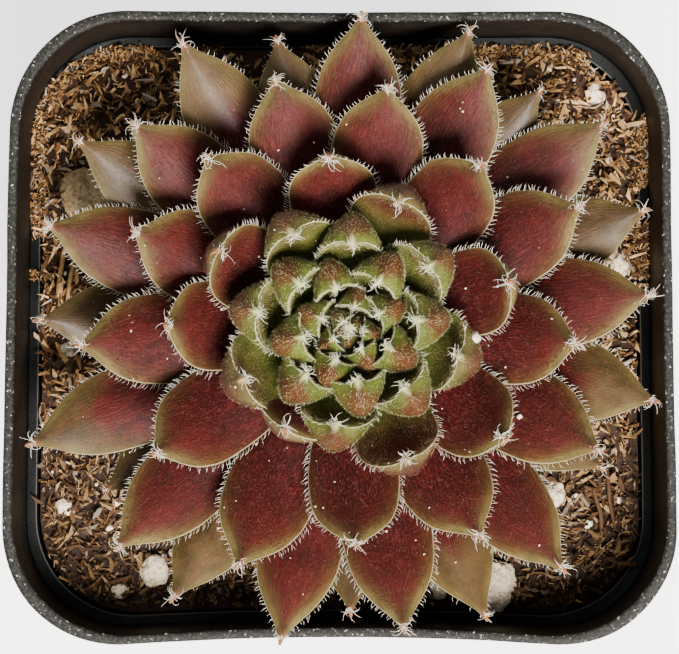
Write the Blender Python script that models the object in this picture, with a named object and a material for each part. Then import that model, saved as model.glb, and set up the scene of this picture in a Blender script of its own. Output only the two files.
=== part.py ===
"""A potted houseleek: one hairy rosette in a small square plastic pot.

Blender 4.5 script, in metres, +Z up. X runs across the pot, Y towards its far side,
and the origin is in the middle of the pot's foot.
"""
import math

import bmesh
import bpy
import numpy as np
from mathutils import Vector, noise

MM = 0.001

# Pot: sizes over the rim, then what the collar, shoulder, body and foot take off them.
# The thin rim has given a little: its long sides sag in, and it is splayed at the near side.
POT_WIDTH = 65.0 * MM
POT_DEPTH = 61.8 * MM
POT_HEIGHT = 60.0 * MM
RIM_CORNER = 11.5 * MM
FOOT_CORNER = 7.0 * MM
RIM_SAG = 0.85 * MM
RIM_SPLAY = 0.015
COLLAR_HEIGHT = 10.0 * MM
COLLAR_TAPER = 0.6 * MM
SHOULDER_STEP = 1.0 * MM
BODY_TAPER = 6.4 * MM
WALL = 0.95 * MM
LIP_ROUND = 0.25 * MM
SHOULDER_DROP = 0.6 * MM
FLOOR_UNDERSIDE = 1.6 * MM
FLOOR_TOP = 2.8 * MM
FLOOR_ROUND = 0.8 * MM
FOOT_WIDTH = 1.7 * MM
FOOT_ROUND = 0.55 * MM
SHOULDER_HEIGHT = POT_HEIGHT - COLLAR_HEIGHT
BODY_TOP_INSET = COLLAR_TAPER + SHOULDER_STEP
FOOT_INSET = BODY_TOP_INSET + BODY_TAPER
CORNER_SHRINK = 0.35
LEAST_CORNER = 3.0 * MM
CORNER_STEPS = 6
SIDE_STEPS = 4

# Drainage: holes through the floor, and notches that let water out from under it
DRAIN_RADIUS = 2.4 * MM
DRAIN_SPACING = 11.0 * MM
NOTCH_WIDTH = 6.0 * MM
NOTCH_HEIGHT = 1.2 * MM
DRAIN_SIDES = 16

# Clear gap between pieces that touch, and a little more round a stone in its socket
GAP = 0.3 * MM
SOCKET_GAP = 0.4 * MM

# Soil: level of its surface, and how rough the bark and coir make it
SOIL_LEVEL = POT_HEIGHT - 11.2 * MM
SOIL_BANK = 1.6 * MM
CHIP_SIZE = 2.4 * MM
CHIP_RELIEF = 0.7 * MM
GRAIN_SHARE = 0.45
SHADED_RADIUS = 20.0 * MM
SHADED_DIP = 0.7 * MM
SHADED_CALM = 0.6
SOIL_SIDE_TOP = SHOULDER_HEIGHT - 6.0 * MM
SOIL_FOOT_ROUND = 1.0 * MM
SURFACE_RINGS = (1.0, 0.97, 0.93, 0.885, 0.84, 0.79, 0.74, 0.68, 0.60, 0.50, 0.36, 0.2)

# Stem: short, leaning a little towards the near side, with its foot in the soil
STEM_BASE = Vector((0.9, 1.7, 52.0)) * MM
STEM_APEX = Vector((0.8, 0.0, 63.5)) * MM
STEM_BURIED = 14.0 * MM
STEM_BASE_RADIUS = 3.2 * MM
STEM_APEX_RADIUS = 1.0 * MM
STEM_FOOT_RADIUS = 1.8 * MM
STEM_SIDES = 10
STEM_HOLE_RISE = 5.0 * MM
TOP_ROOT_DROP = 1.0 * MM

# Leaves follow one another by the golden angle, from the youngest at the heart outwards
LEAF_COUNT = 70
FIRST_BEARING = 352.0
GOLDEN_TURN = 137.6
SUNK_ROOT = 0.45
CURVE_HANDLE = 0.38

# How a leaf changes with its age, counted in leaves from the heart (sizes in mm, slopes in degrees)
AGES = (0, 5, 10, 22, 30, 36, 43, 50, 60, 69)
TIP_REACH = (1.4, 2.9, 4.6, 11.2, 18.4, 23.0, 27.4, 31.4, 31.0, 29.2)
TIP_HEIGHT = (69.5, 70.5, 71.2, 71.0, 69.5, 68.0, 66.0, 64.0, 61.2, 58.5)
LEAF_WIDTH = (2.2, 4.0, 6.0, 8.2, 8.8, 9.0, 9.0, 8.7, 8.2, 7.4)
LEAF_DEPTH = (1.1, 1.5, 1.9, 2.4, 2.5, 2.5, 2.4, 2.3, 2.1, 1.9)
ROOT_SLOPE = (70, 60, 48, 24, 12, 8, 5, 3, 2, 2)
TIP_SLOPE = (100, 118, 128, 114, 72, 54, 42, 32, 24, 18)
CUP_PER_MM = (0.45, 0.32, 0.20, 0.08, 0.03, 0.01, 0.0, 0.0, 0.0, 0.0)

# Leaves pushed off the spiral by neighbours or by the pot: leaf: (turn in degrees, reach, rise in mm)
STRAYS = {
    27: (2, -3.5, 1.0),
    31: (6, 0.0, 0.0),
    32: (2, 1.5, 0.0),
    38: (-5, -1.6, 0.3),
    41: (-2, -1.9, 0.3),
    43: (-8, -0.7, 0.0),
    44: (5, -0.3, 0.0),
    45: (0, 2.2, 0.0),
    46: (-3, -1.0, 0.0),
    49: (-1, -1.9, 0.6),
    51: (-10, -0.9, -0.6),
    56: (-3, 2.1, 0.4),
    58: (5, 1.5, 0.0),
    59: (-5, 0.0, 0.0),
    61: (2, 2.0, 0.0),
    62: (4, -3.0, -0.4),
    63: (7, -0.6, 0.0),
    64: (-4, 0.0, 0.0),
    67: (0, -5.0, -0.5),
    68: (0, -4.0, -0.5),
}

# Half outline of a blade: part of its length, part of its full width
BLADE_OUTLINE = ((0.0, 0.42), (0.24, 0.64), (0.48, 0.94), (0.66, 1.0), (0.82, 0.78), (0.93, 0.36))
BLADE_DEPTH = ((0.0, 0.9), (0.48, 1.0), (0.82, 0.8), (0.93, 0.5))
UPPER_SHARE = 0.38
SECTION_SIDES = 8

# Pumice and perlite in the soil's surface: place across the pot, half sizes and turn
PUMICE = (
    ((-25.4, 13.2), (2.3, 3.0, 1.6), 20),
    ((25.6, 23.6), (1.0, 1.1, 0.8), 0),
    ((15.6, -25.4), (2.0, 2.7, 1.6), -15),
    ((9.8, -25.8), (1.1, 1.0, 0.8), 40),
    ((20.9, -16.4), (1.6, 1.3, 1.1), 30),
    ((27.9, 6.6), (1.1, 1.6, 1.0), 10),
    ((-27.0, -1.8), (0.9, 0.8, 0.7), 0),
    ((-27.3, -17.6), (0.8, 1.0, 0.7), 60),
    ((-18.4, -23.9), (1.6, 1.4, 1.1), 75),
    ((-21.9, -26.0), (0.9, 0.8, 0.7), 15),
)
PUMICE_SUNK = 0.35
PUMICE_ROUGHNESS = 0.16
PUMICE_LUMPS = 1.7
SMOOTH_ANGLE = math.radians(35)


def make_material(name, colour, roughness, metallic=0.0):
    """One plain finish with its own Principled BSDF."""
    material = bpy.data.materials.new(name)
    material.use_nodes = True
    shader = material.node_tree.nodes["Principled BSDF"]
    shader.inputs["Base Color"].default_value = (*colour, 1.0)
    shader.inputs["Roughness"].default_value = roughness
    shader.inputs["Metallic"].default_value = metallic
    return material


def add_object(name, mesh, collection, material=None):
    obj = bpy.data.objects.new(name, mesh)
    collection.objects.link(obj)
    if material:
        mesh.materials.append(material)
    return obj


def make_cutter(obj):
    obj.hide_render = True
    obj.display_type = "WIRE"
    return obj


def loft(name, rings):
    """A closed skin over rings of equal length, capped at both ends."""
    bm = bmesh.new()
    loops = [[bm.verts.new(point) for point in ring] for ring in rings]
    for lower, upper in zip(loops, loops[1:]):
        for i in range(len(lower)):
            j = (i + 1) % len(lower)
            bm.faces.new((lower[i], lower[j], upper[j], upper[i]))
    bm.faces.new(reversed(loops[0]))
    bm.faces.new(loops[-1])
    bmesh.ops.recalc_face_normals(bm, faces=bm.faces)
    mesh = bpy.data.meshes.new(name)
    bm.to_mesh(mesh)
    bm.free()
    return mesh


def cut_with(obj, cutters):
    cut = obj.modifiers.new("cut", "BOOLEAN")
    cut.operation = "DIFFERENCE"
    cut.operand_type = "COLLECTION"
    cut.collection = cutters
    cut.solver = "EXACT"


def smooth(mesh):
    mesh.shade_smooth()
    mesh.set_sharp_from_angle(angle=SMOOTH_ANGLE)


def apply_modifiers(obj):
    """Give an object its evaluated mesh, and take its modifiers off."""
    graph = bpy.context.evaluated_depsgraph_get()
    mesh = bpy.data.meshes.new_from_object(obj.evaluated_get(graph))
    obj.modifiers.clear()
    obj.data = mesh


def keep_largest_shell(mesh):
    """Drop sealed pockets and loose scraps, which lie inside or beside the outer shell."""
    bm = bmesh.new()
    bm.from_mesh(mesh)
    waiting = set(bm.faces)
    shells = []
    while waiting:
        front = [waiting.pop()]
        shell = set(front)
        while front:
            face = front.pop()
            for edge in face.edges:
                for other in edge.link_faces:
                    if other in waiting:
                        waiting.remove(other)
                        shell.add(other)
                        front.append(other)
        shells.append(shell)
    largest = max(shells, key=len)
    spare = [face for shell in shells if shell is not largest for face in shell]
    bmesh.ops.delete(bm, geom=spare, context="FACES")
    bm.to_mesh(mesh)
    bm.free()
    print(f"{mesh.name}: {len(shells) - 1} sealed pockets or scraps dropped")


# The pot

def outline_at(inset, corner, sag, splay, height):
    """Rounded rectangle inside the rim's outline by inset: its near and far sides sag in."""
    half_x = POT_WIDTH / 2 - inset
    half_y = POT_DEPTH / 2 - inset
    points = []
    for quarter in range(4):
        start = quarter * math.pi / 2
        sign_x = 1 if quarter in (0, 3) else -1
        sign_y = 1 if quarter in (0, 1) else -1
        centre_x = sign_x * (half_x - corner)
        centre_y = sign_y * (half_y - corner)
        for step in range(CORNER_STEPS + 1):
            angle = start + step / CORNER_STEPS * math.pi / 2
            x = centre_x + corner * math.cos(angle)
            y = centre_y + corner * math.sin(angle)
            points.append(Vector((x, y, height)))
        arc_end = points[-1].copy()
        along_x = quarter in (0, 2)
        run = 2 * (half_x - corner) if along_x else 2 * (half_y - corner)
        for step in range(1, SIDE_STEPS):
            share = step / SIDE_STEPS
            if along_x:
                inward = sag * (1 - (2 * share - 1) ** 2)
                offset = Vector((-sign_x * run * share, -sign_y * inward, 0))
            else:
                offset = Vector((0, -sign_y * run * share, 0))
            points.append(arc_end + offset)
    for point in points:
        point.x *= 1 - splay * point.y / (POT_DEPTH / 2)
    return points


def outer_inset(height):
    """How far the body's outside lies in from the rim, below the shoulder."""
    share = (SHOULDER_HEIGHT - height) / SHOULDER_HEIGHT
    return BODY_TOP_INSET + BODY_TAPER * share


def pot_ring(height, inset):
    """The pot's outline at a height: the foot is stiff, and the rim gives most."""
    share = height / POT_HEIGHT
    corner = FOOT_CORNER + (RIM_CORNER - FOOT_CORNER) * share - CORNER_SHRINK * inset
    corner = max(corner, LEAST_CORNER)
    softness = share**2
    return outline_at(inset, corner, RIM_SAG * softness, RIM_SPLAY * softness, height)


def build_pot(collection, material):
    """Shell with a recessed floor, standing on a narrow foot, with a collar at the rim."""
    floor_inset = WALL + outer_inset(FLOOR_TOP)
    profile = (
        (FLOOR_UNDERSIDE, FOOT_INSET + FOOT_WIDTH + LIP_ROUND),
        (0.0, FOOT_INSET + FOOT_WIDTH),
        (0.0, FOOT_INSET + FOOT_ROUND),
        (FOOT_ROUND, FOOT_INSET),
        (SHOULDER_HEIGHT - SHOULDER_DROP, BODY_TOP_INSET),
        (SHOULDER_HEIGHT, COLLAR_TAPER),
        (POT_HEIGHT - LIP_ROUND, 0.0),
        (POT_HEIGHT, LIP_ROUND),
        (POT_HEIGHT, WALL - LIP_ROUND),
        (POT_HEIGHT - LIP_ROUND, WALL),
        (SHOULDER_HEIGHT + LIP_ROUND, WALL + COLLAR_TAPER + LIP_ROUND),
        (SHOULDER_HEIGHT - SHOULDER_DROP, WALL + BODY_TOP_INSET),
        (FLOOR_TOP + FLOOR_ROUND, floor_inset),
        (FLOOR_TOP, floor_inset + FLOOR_ROUND),
    )
    mesh = loft("pot", [pot_ring(height, inset) for height, inset in profile])
    return add_object("pot", mesh, collection, material)


def cut_pot(pot, cutters):
    """Five drain holes through the floor, and a water notch under the middle of each side."""
    centres = [(0, 0)]
    centres += [(x, y) for x in (-DRAIN_SPACING, DRAIN_SPACING) for y in (-DRAIN_SPACING, DRAIN_SPACING)]
    for number, (x, y) in enumerate(centres):
        bm = bmesh.new()
        bmesh.ops.create_cone(bm, cap_ends=True, segments=DRAIN_SIDES, radius1=DRAIN_RADIUS,
                              radius2=DRAIN_RADIUS, depth=4 * FLOOR_TOP)
        mesh = bpy.data.meshes.new("drain")
        bm.to_mesh(mesh)
        bm.free()
        drain = make_cutter(add_object(f"cut_drain_{number}", mesh, cutters))
        drain.location = (x, y, 0)
    for number, turn in enumerate((0, 90)):
        bm = bmesh.new()
        bmesh.ops.create_cube(bm, size=1)
        bmesh.ops.scale(bm, vec=(2 * POT_WIDTH, NOTCH_WIDTH, 2 * NOTCH_HEIGHT), verts=bm.verts)
        mesh = bpy.data.meshes.new("notch")
        bm.to_mesh(mesh)
        bm.free()
        notch = make_cutter(add_object(f"cut_notch_{number}", mesh, cutters))
        notch.rotation_euler.z = math.radians(turn)
    cut_with(pot, cutters)


# The soil

def soil_height(x, y):
    """Level of the potting mix: banked up at the far side, with chips as relief."""
    bank = SOIL_BANK * max(0.0, y / (POT_DEPTH / 2)) ** 2
    chips = noise.noise(Vector((x, y, 0)) / CHIP_SIZE) * CHIP_RELIEF
    grains = noise.noise(Vector((x, y, CHIP_SIZE)) / (GRAIN_SHARE * CHIP_SIZE)) * CHIP_RELIEF * GRAIN_SHARE
    distance = math.hypot(x - STEM_BASE.x, y - STEM_BASE.y)
    shaded = min(1.0, 2 * max(0.0, 1 - distance / SHADED_RADIUS))
    return SOIL_LEVEL + bank + (chips + grains) * (1 - SHADED_CALM * shaded) - SHADED_DIP * shaded


def build_soil(collection, material):
    """The potting mix fills the pot from the floor up to a rough surface."""
    bottom = FLOOR_TOP + GAP
    wall_inset = WALL + GAP
    rings = [
        pot_ring(bottom, wall_inset + outer_inset(bottom) + SOIL_FOOT_ROUND),
        pot_ring(bottom + SOIL_FOOT_ROUND, wall_inset + outer_inset(bottom)),
        pot_ring(SOIL_SIDE_TOP, wall_inset + outer_inset(SOIL_SIDE_TOP)),
    ]
    edge = pot_ring(SHOULDER_HEIGHT, wall_inset + outer_inset(SHOULDER_HEIGHT))
    for share in SURFACE_RINGS:
        ring = [(point.x * share, point.y * share) for point in edge]
        rings.append([Vector((x, y, soil_height(x, y))) for x, y in ring])
    return add_object("soil", loft("soil", rings), collection, material)


def stem_radius(height):
    """The stem narrows to the growing point above, and to its foot in the soil below."""
    if height >= STEM_BASE.z:
        share = (height - STEM_BASE.z) / (STEM_APEX.z - STEM_BASE.z)
        return STEM_BASE_RADIUS + (STEM_APEX_RADIUS - STEM_BASE_RADIUS) * share
    share = (STEM_BASE.z - height) / STEM_BURIED
    return STEM_BASE_RADIUS + (STEM_FOOT_RADIUS - STEM_BASE_RADIUS) * share


def stem_centre(height):
    share = max(0.0, (height - STEM_BASE.z) / (STEM_APEX.z - STEM_BASE.z))
    centre = STEM_BASE.lerp(STEM_APEX, share)
    return Vector((centre.x, centre.y, height))


def make_stem_hole(cutters):
    """A plain hole that the stem's foot stands in."""
    rings = []
    for height in (STEM_BASE.z - STEM_BURIED - GAP, STEM_BASE.z + STEM_HOLE_RISE):
        radius = stem_radius(min(height, STEM_BASE.z)) + GAP
        rings.append(circle(STEM_BASE, radius, height, 2 * STEM_SIDES))
    make_cutter(add_object("cut_stem_hole", loft("stem_hole", rings), cutters))


def circle(centre, radius, height, sides):
    turns = [2 * math.pi * i / sides for i in range(sides)]
    return [Vector((centre.x + radius * math.cos(a), centre.y + radius * math.sin(a), height))
            for a in turns]


# The pumice

def stone_mesh(name, half_sizes, seed, margin=0.0):
    """A rough grain, or with a margin the socket that it lies in."""
    bm = bmesh.new()
    bmesh.ops.create_icosphere(bm, subdivisions=2, radius=1.0)
    for vert in bm.verts:
        bump = noise.noise(vert.co * PUMICE_LUMPS + Vector((seed, 0, 0))) * PUMICE_ROUGHNESS
        direction = vert.co.normalized()
        vert.co = Vector([c * (1 + bump) * h for c, h in zip(direction, half_sizes)])
        vert.co += direction * margin
    mesh = bpy.data.meshes.new(name)
    bm.to_mesh(mesh)
    bm.free()
    return mesh


def build_pumice(collection, cutters, material):
    for number, (place, half_sizes, turn) in enumerate(PUMICE, start=1):
        x, y = (c * MM for c in place)
        sizes = [h * MM for h in half_sizes]
        height = soil_height(x, y) + sizes[2] * PUMICE_SUNK
        stone = add_object(f"pumice_{number}", stone_mesh("pumice", sizes, number), collection, material)
        stone.data.shade_smooth()
        socket = add_object(f"cut_socket_{number}", stone_mesh("socket", sizes, number, SOCKET_GAP), cutters)
        make_cutter(socket)
        for obj in (stone, socket):
            obj.location = (x, y, height)
            obj.rotation_euler.z = math.radians(turn)


# The rosette

def by_age(age, values):
    return float(np.interp(age, AGES, values))


def along(share, pairs):
    shares, values = zip(*pairs)
    return float(np.interp(share, shares, values))


def leaf_midrib(age):
    """Root, two handles and tip of the midrib, as (reach from the stem's axis, height)."""
    turn, reach_change, rise = STRAYS.get(age, (0, 0.0, 0.0))
    share = 1 - age / (LEAF_COUNT - 1)
    root_height = STEM_BASE.z + (STEM_APEX.z - STEM_BASE.z - TOP_ROOT_DROP) * share
    root = np.array((stem_radius(root_height) * SUNK_ROOT, root_height))
    tip = np.array((by_age(age, TIP_REACH) + reach_change, by_age(age, TIP_HEIGHT) + rise)) * MM
    handle = CURVE_HANDLE * np.linalg.norm(tip - root)
    leaving = math.radians(by_age(age, ROOT_SLOPE))
    arriving = math.radians(by_age(age, TIP_SLOPE))
    first = root + handle * np.array((math.cos(leaving), math.sin(leaving)))
    second = tip - handle * np.array((math.cos(arriving), math.sin(arriving)))
    bearing = math.radians(FIRST_BEARING - GOLDEN_TURN * age + turn)
    return (root, first, second, tip), bearing


def midrib_point(curve, share):
    """Point and direction of a cubic curve."""
    root, first, second, tip = curve
    rest = 1 - share
    point = rest**3 * root + 3 * rest**2 * share * first + 3 * rest * share**2 * second + share**3 * tip
    slope = rest**2 * (first - root) + 2 * rest * share * (second - first) + share**2 * (tip - second)
    return point, slope / np.linalg.norm(slope)


def leaf_point(age, share, across, thick):
    """A point of a leaf: share of its length, distance across it and off its middle surface."""
    curve, bearing = leaf_midrib(age)
    point, slope = midrib_point(curve, share)
    normal = np.array((-slope[1], slope[0]))
    cup = by_age(age, CUP_PER_MM) / MM
    if cup > 0:
        sideways = math.sin(across * cup) / cup
        lift = (1 - math.cos(across * cup)) / cup
    else:
        sideways, lift = across, 0.0
    reach, height = point + normal * (lift + thick)
    centre = stem_centre(curve[0][1])
    x = centre.x + reach * math.cos(bearing) - sideways * math.sin(bearing)
    y = centre.y + reach * math.sin(bearing) + sideways * math.cos(bearing)
    return Vector((x, y, height))


def leaf_mesh(age):
    """A fleshy blade: eight-sided sections from the root, closed to a point at the tip."""
    half_width = by_age(age, LEAF_WIDTH) / 2 * MM
    depth = by_age(age, LEAF_DEPTH) * MM
    bm = bmesh.new()
    loops = []
    for share, part in BLADE_OUTLINE:
        ring = []
        thickness = depth * along(share, BLADE_DEPTH)
        for side in range(SECTION_SIDES):
            angle = 2 * math.pi * side / SECTION_SIDES
            across = half_width * part * math.cos(angle)
            part_of_depth = UPPER_SHARE if math.sin(angle) > 0 else 1 - UPPER_SHARE
            thick = thickness * part_of_depth * math.sin(angle)
            ring.append(bm.verts.new(leaf_point(age, share, across, thick)))
        loops.append(ring)
    for lower, upper in zip(loops, loops[1:]):
        for i in range(SECTION_SIDES):
            j = (i + 1) % SECTION_SIDES
            bm.faces.new((lower[i], lower[j], upper[j], upper[i]))
    bm.faces.new(reversed(loops[0]))
    tip = bm.verts.new(leaf_point(age, 1.0, 0.0, 0.0))
    for i in range(SECTION_SIDES):
        bm.faces.new((loops[-1][i], loops[-1][(i + 1) % SECTION_SIDES], tip))
    bmesh.ops.recalc_face_normals(bm, faces=bm.faces)
    bmesh.ops.triangulate(bm, faces=bm.faces)
    mesh = bpy.data.meshes.new(f"leaf_{age}")
    bm.to_mesh(mesh)
    bm.free()
    return mesh


def build_rosette(collection, material):
    """The stem with every leaf fused to it as one solid."""
    heights = (STEM_BASE.z - STEM_BURIED, STEM_BASE.z - STEM_BURIED / 2, STEM_BASE.z,
               (STEM_BASE.z + STEM_APEX.z) / 2, STEM_APEX.z)
    rings = [circle(stem_centre(h), stem_radius(h), h, STEM_SIDES) for h in heights]
    rosette = add_object("rosette", loft("rosette", rings), collection, material)
    leaves = bpy.data.collections.new("leaves")
    bpy.context.scene.collection.children.link(leaves)
    for age in range(LEAF_COUNT):
        add_object(f"leaf_{age}", leaf_mesh(age), leaves)
    fuse = rosette.modifiers.new("fuse leaves", "BOOLEAN")
    fuse.operation = "UNION"
    fuse.operand_type = "COLLECTION"
    fuse.collection = leaves
    fuse.solver = "MANIFOLD"
    apply_modifiers(rosette)
    for leaf in list(leaves.objects):
        bpy.data.objects.remove(leaf)
    bpy.data.collections.remove(leaves)
    rosette.data.name = "rosette"
    keep_largest_shell(rosette.data)
    smooth(rosette.data)


def new_collection(name):
    collection = bpy.data.collections.new(name)
    bpy.context.scene.collection.children.link(collection)
    return collection


def main():
    for obj in list(bpy.data.objects):
        bpy.data.objects.remove(obj)
    plastic = make_material("black plastic", (0.016, 0.015, 0.014), 0.42)
    potting_mix = make_material("potting mix", (0.10, 0.052, 0.025), 0.95)
    leaf_skin = make_material("leaf", (0.17, 0.022, 0.026), 0.55)
    pumice = make_material("pumice", (0.62, 0.54, 0.42), 0.9)

    plant = new_collection("potted_houseleek")
    pot_cutters = new_collection("pot_cutters")
    soil_cutters = new_collection("soil_cutters")

    pot = build_pot(plant, plastic)
    smooth(pot.data)
    cut_pot(pot, pot_cutters)
    soil = build_soil(plant, potting_mix)
    make_stem_hole(soil_cutters)
    build_pumice(plant, soil_cutters, pumice)
    cut_with(soil, soil_cutters)
    build_rosette(plant, leaf_skin)


main()
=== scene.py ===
# %% [markdown]
# # A potted houseleek
#
# A solid model of the plant is already made: a square nursery pot, its soil, ten pumice grains and one
# rosette with blunt leaves. This lesson dresses it. Each piece is made from the same sizes as the
# solids, only finer, and then gets what a solid can't carry: hairs, chips, fibres, colour and wear.
# The first step loads the solids, which stay where they are as a guide.

# %% Load the solids
import math
import random

import bmesh
import bpy
from mathutils import Euler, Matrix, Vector, noise
from mathutils.bvhtree import BVHTree


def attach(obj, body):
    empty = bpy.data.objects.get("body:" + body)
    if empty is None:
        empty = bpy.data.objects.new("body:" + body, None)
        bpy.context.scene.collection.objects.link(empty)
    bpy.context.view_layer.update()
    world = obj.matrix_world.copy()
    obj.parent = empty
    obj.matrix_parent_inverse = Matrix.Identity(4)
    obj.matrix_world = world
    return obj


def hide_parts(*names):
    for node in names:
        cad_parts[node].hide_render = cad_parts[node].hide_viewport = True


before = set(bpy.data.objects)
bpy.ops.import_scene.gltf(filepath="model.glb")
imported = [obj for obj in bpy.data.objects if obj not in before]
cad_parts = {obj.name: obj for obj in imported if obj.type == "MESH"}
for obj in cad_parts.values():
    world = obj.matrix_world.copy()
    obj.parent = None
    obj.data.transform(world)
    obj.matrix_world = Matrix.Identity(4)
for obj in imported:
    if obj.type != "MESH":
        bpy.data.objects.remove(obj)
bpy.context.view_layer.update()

MM = 0.001
print("solids:", ", ".join(sorted(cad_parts)))

# %% [markdown]
# ## The camera
#
# The photograph was taken from almost straight above, so the camera hangs over the pot and leans back
# by two degrees. Its distance sets how much larger the heart looks than the rim below it. The lens is
# worked out from that distance and from the width of the plane at the rim that fills the picture.

# %% Hang the camera over the pot
RIM_LEVEL = Vector((0, 0, 60.0)) * MM
CAMERA_DISTANCE = 400 * MM
CAMERA_ELEVATION = math.radians(88)
PICTURE_WIDTH = 66.0 * MM
SENSOR = 36.0
NEAREST_SEEN = 10 * MM


def linked(name, data):
    """A new object that shows this data in the scene."""
    made = bpy.data.objects.new(name, data)
    bpy.context.scene.collection.objects.link(made)
    return made


camera = linked("camera", bpy.data.cameras.new("camera"))
towards_camera = Vector((0, -math.cos(CAMERA_ELEVATION), math.sin(CAMERA_ELEVATION)))
camera.location = RIM_LEVEL + CAMERA_DISTANCE * towards_camera
camera.rotation_euler.x = math.pi / 2 - CAMERA_ELEVATION
camera.data.sensor_width = SENSOR
camera.data.lens = SENSOR * CAMERA_DISTANCE / PICTURE_WIDTH
camera.data.clip_start = NEAREST_SEEN
bpy.context.scene.camera = camera
print(f"camera: {camera.data.lens:.0f} mm lens at {CAMERA_DISTANCE * 1000:.0f} mm")

# %% [markdown]
# ## Soft studio light
#
# Hairs and chips need light that has a direction, or they sink into their own leaf. In the photograph the
# leaves above the heart are bright and those below it dark. Every leaf tilts towards the heart, so the
# light comes from below the picture: a large lamp there is the window of this studio. A weaker one
# opposite keeps the shaded halves readable, and a pale sky fills the rest. Lamps this near need few watts.
# Each entry gives a lamp's place and size in millimetres, its power in watts and its tint.

# %% Set the lamps and the sky
LAMPS = {
    "window lamp": ((100, -260, 450), 200, 11.5, (1.0, 0.98, 0.95)),
    "fill lamp": ((-260, 120, 420), 320, 0.8, (0.94, 0.97, 1.0)),
}
SKY_COLOUR = (0.95, 0.97, 1.0, 1.0)
SKY_STRENGTH = 0.3

for name, (place, size, watts, tint) in LAMPS.items():
    lamp = linked(name, bpy.data.lights.new(name, "AREA"))
    lamp.location = Vector(place) * MM
    lamp.rotation_euler = (lamp.location - RIM_LEVEL).to_track_quat("Z", "Y").to_euler()
    lamp.data.size = size * MM
    lamp.data.energy = watts
    lamp.data.color = tint

sky = bpy.data.worlds.new("studio sky")
sky.use_nodes = True
sky.node_tree.nodes["Background"].inputs["Color"].default_value = SKY_COLOUR
sky.node_tree.nodes["Background"].inputs["Strength"].default_value = SKY_STRENGTH
bpy.context.scene.world = sky
print(f"light: {len(LAMPS)} lamps and a sky of strength {SKY_STRENGTH}")

# %% [markdown]
# ## Writing shaders as sums
#
# A material is a graph of nodes, and a graph is slow to read in code. So one small class wraps an output
# socket: adding, multiplying or comparing two wires adds the Math node that does it. Any other node
# comes from `node`, which takes its type, its settings and what goes into its sockets. Colours are mixed
# by `blend`, never by Math, because a Math node keeps only one number of a colour.

# %% The wire class
class Wire:
    """An output socket. Ordinary maths on wires adds Math nodes."""

    def __init__(self, tree, socket=None):
        self.tree = tree
        self.socket = socket

    def node(self, kind, settings, inputs, output=0):
        """Add a node: first its settings, then the value or the wire of each socket."""
        made = self.tree.nodes.new(kind)
        for name, value in settings.items():
            setattr(made, name, value)
        for name, value in inputs.items():
            if isinstance(value, Wire):
                self.tree.links.new(value.socket, made.inputs[name])
            else:
                made.inputs[name].default_value = value
        return Wire(self.tree, made.outputs[output])

    def math(self, operation, first, second=0.0):
        return self.node("ShaderNodeMath", {"operation": operation}, {0: first, 1: second})

    def __add__(self, other):
        return self.math("ADD", self, other)

    def __sub__(self, other):
        return self.math("SUBTRACT", self, other)

    def __rsub__(self, other):
        return self.math("SUBTRACT", other, self)

    def __mul__(self, other):
        return self.math("MULTIPLY", self, other)

    def __pow__(self, power):
        return self.math("POWER", self, power)

    def __abs__(self):
        return self.math("ABSOLUTE", self)

    __radd__ = __add__
    __rmul__ = __mul__

    def step(self, low, high):
        """A soft step: 0 up to low, 1 from high on."""
        return self.node("ShaderNodeMapRange", {"interpolation_type": "SMOOTHSTEP"},
                         {"Value": self, "From Min": low, "From Max": high})

    def blend(self, base, other):
        """A colour: base where this mask is 0, other where it is 1."""
        return self.node("ShaderNodeMix", {"data_type": "RGBA"}, {0: self, 6: base, 7: other}, 2)

    def split(self):
        """The three numbers of a vector, each as a wire."""
        parts = self.node("ShaderNodeSeparateXYZ", {}, {"Vector": self})
        return [Wire(self.tree, parts.socket.node.outputs[axis]) for axis in "XYZ"]

    def grain(self, size, detail=2.0, roughness=0.5):
        """Noise at these places, with lumps of about this size in metres."""
        return self.node("ShaderNodeTexNoise", {}, {"Vector": self, "Scale": 1 / size, "Detail": detail,
                                                    "Roughness": roughness}, "Fac")

# %% [markdown]
# Colours are written the way a painter reads them off a screen, as six hexadecimal digits, and turned
# into the linear light that Blender counts in. Every finish starts from a Principled shader whose fixed
# properties are set straight on its sockets. The wires come after, for what changes over the surface.

# %% Colours and finishes
def colour(digits):
    """Screen colour, such as 7b2a35, as linear red, green, blue and full opacity."""
    parts = [int(digits[i:i + 2], 16) / 255 for i in (0, 2, 4)]
    return (*(p / 12.92 if p <= 0.04045 else ((p + 0.055) / 1.055) ** 2.4 for p in parts), 1.0)


class Finish:
    """A material with its shader and the wires that its textures follow."""

    def __init__(self, name, constants):
        self.material = bpy.data.materials.new(name)
        self.material.use_nodes = True
        self.tree = self.material.node_tree
        self.shader = self.tree.nodes["Principled BSDF"]
        for socket, value in constants.items():
            self.shader.inputs[socket].default_value = value
        self.place = Wire(self.tree).node("ShaderNodeTexCoord", {}, {}, "Object")

    def painted(self, name):
        """The three painted values of a piece's attribute."""
        return Wire(self.tree).node("ShaderNodeAttribute", {"attribute_name": name}, {}, "Vector").split()

    def feed(self, **wires):
        """Plug wires into the shader: base_color, roughness or height, which becomes a bump."""
        height = wires.pop("height", None)
        depth = wires.pop("depth", 0.1 * MM)
        if height:
            wires["normal"] = height.node("ShaderNodeBump", {}, {"Height": height, "Distance": depth,
                                                                  "Strength": 1.0}, "Normal")
        for name, wire in wires.items():
            self.tree.links.new(wire.socket, self.shader.inputs[name.replace("_", " ").title()])
        print(f"finish {self.material.name}: {len(self.tree.nodes)} nodes")
        return self.material

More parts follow.
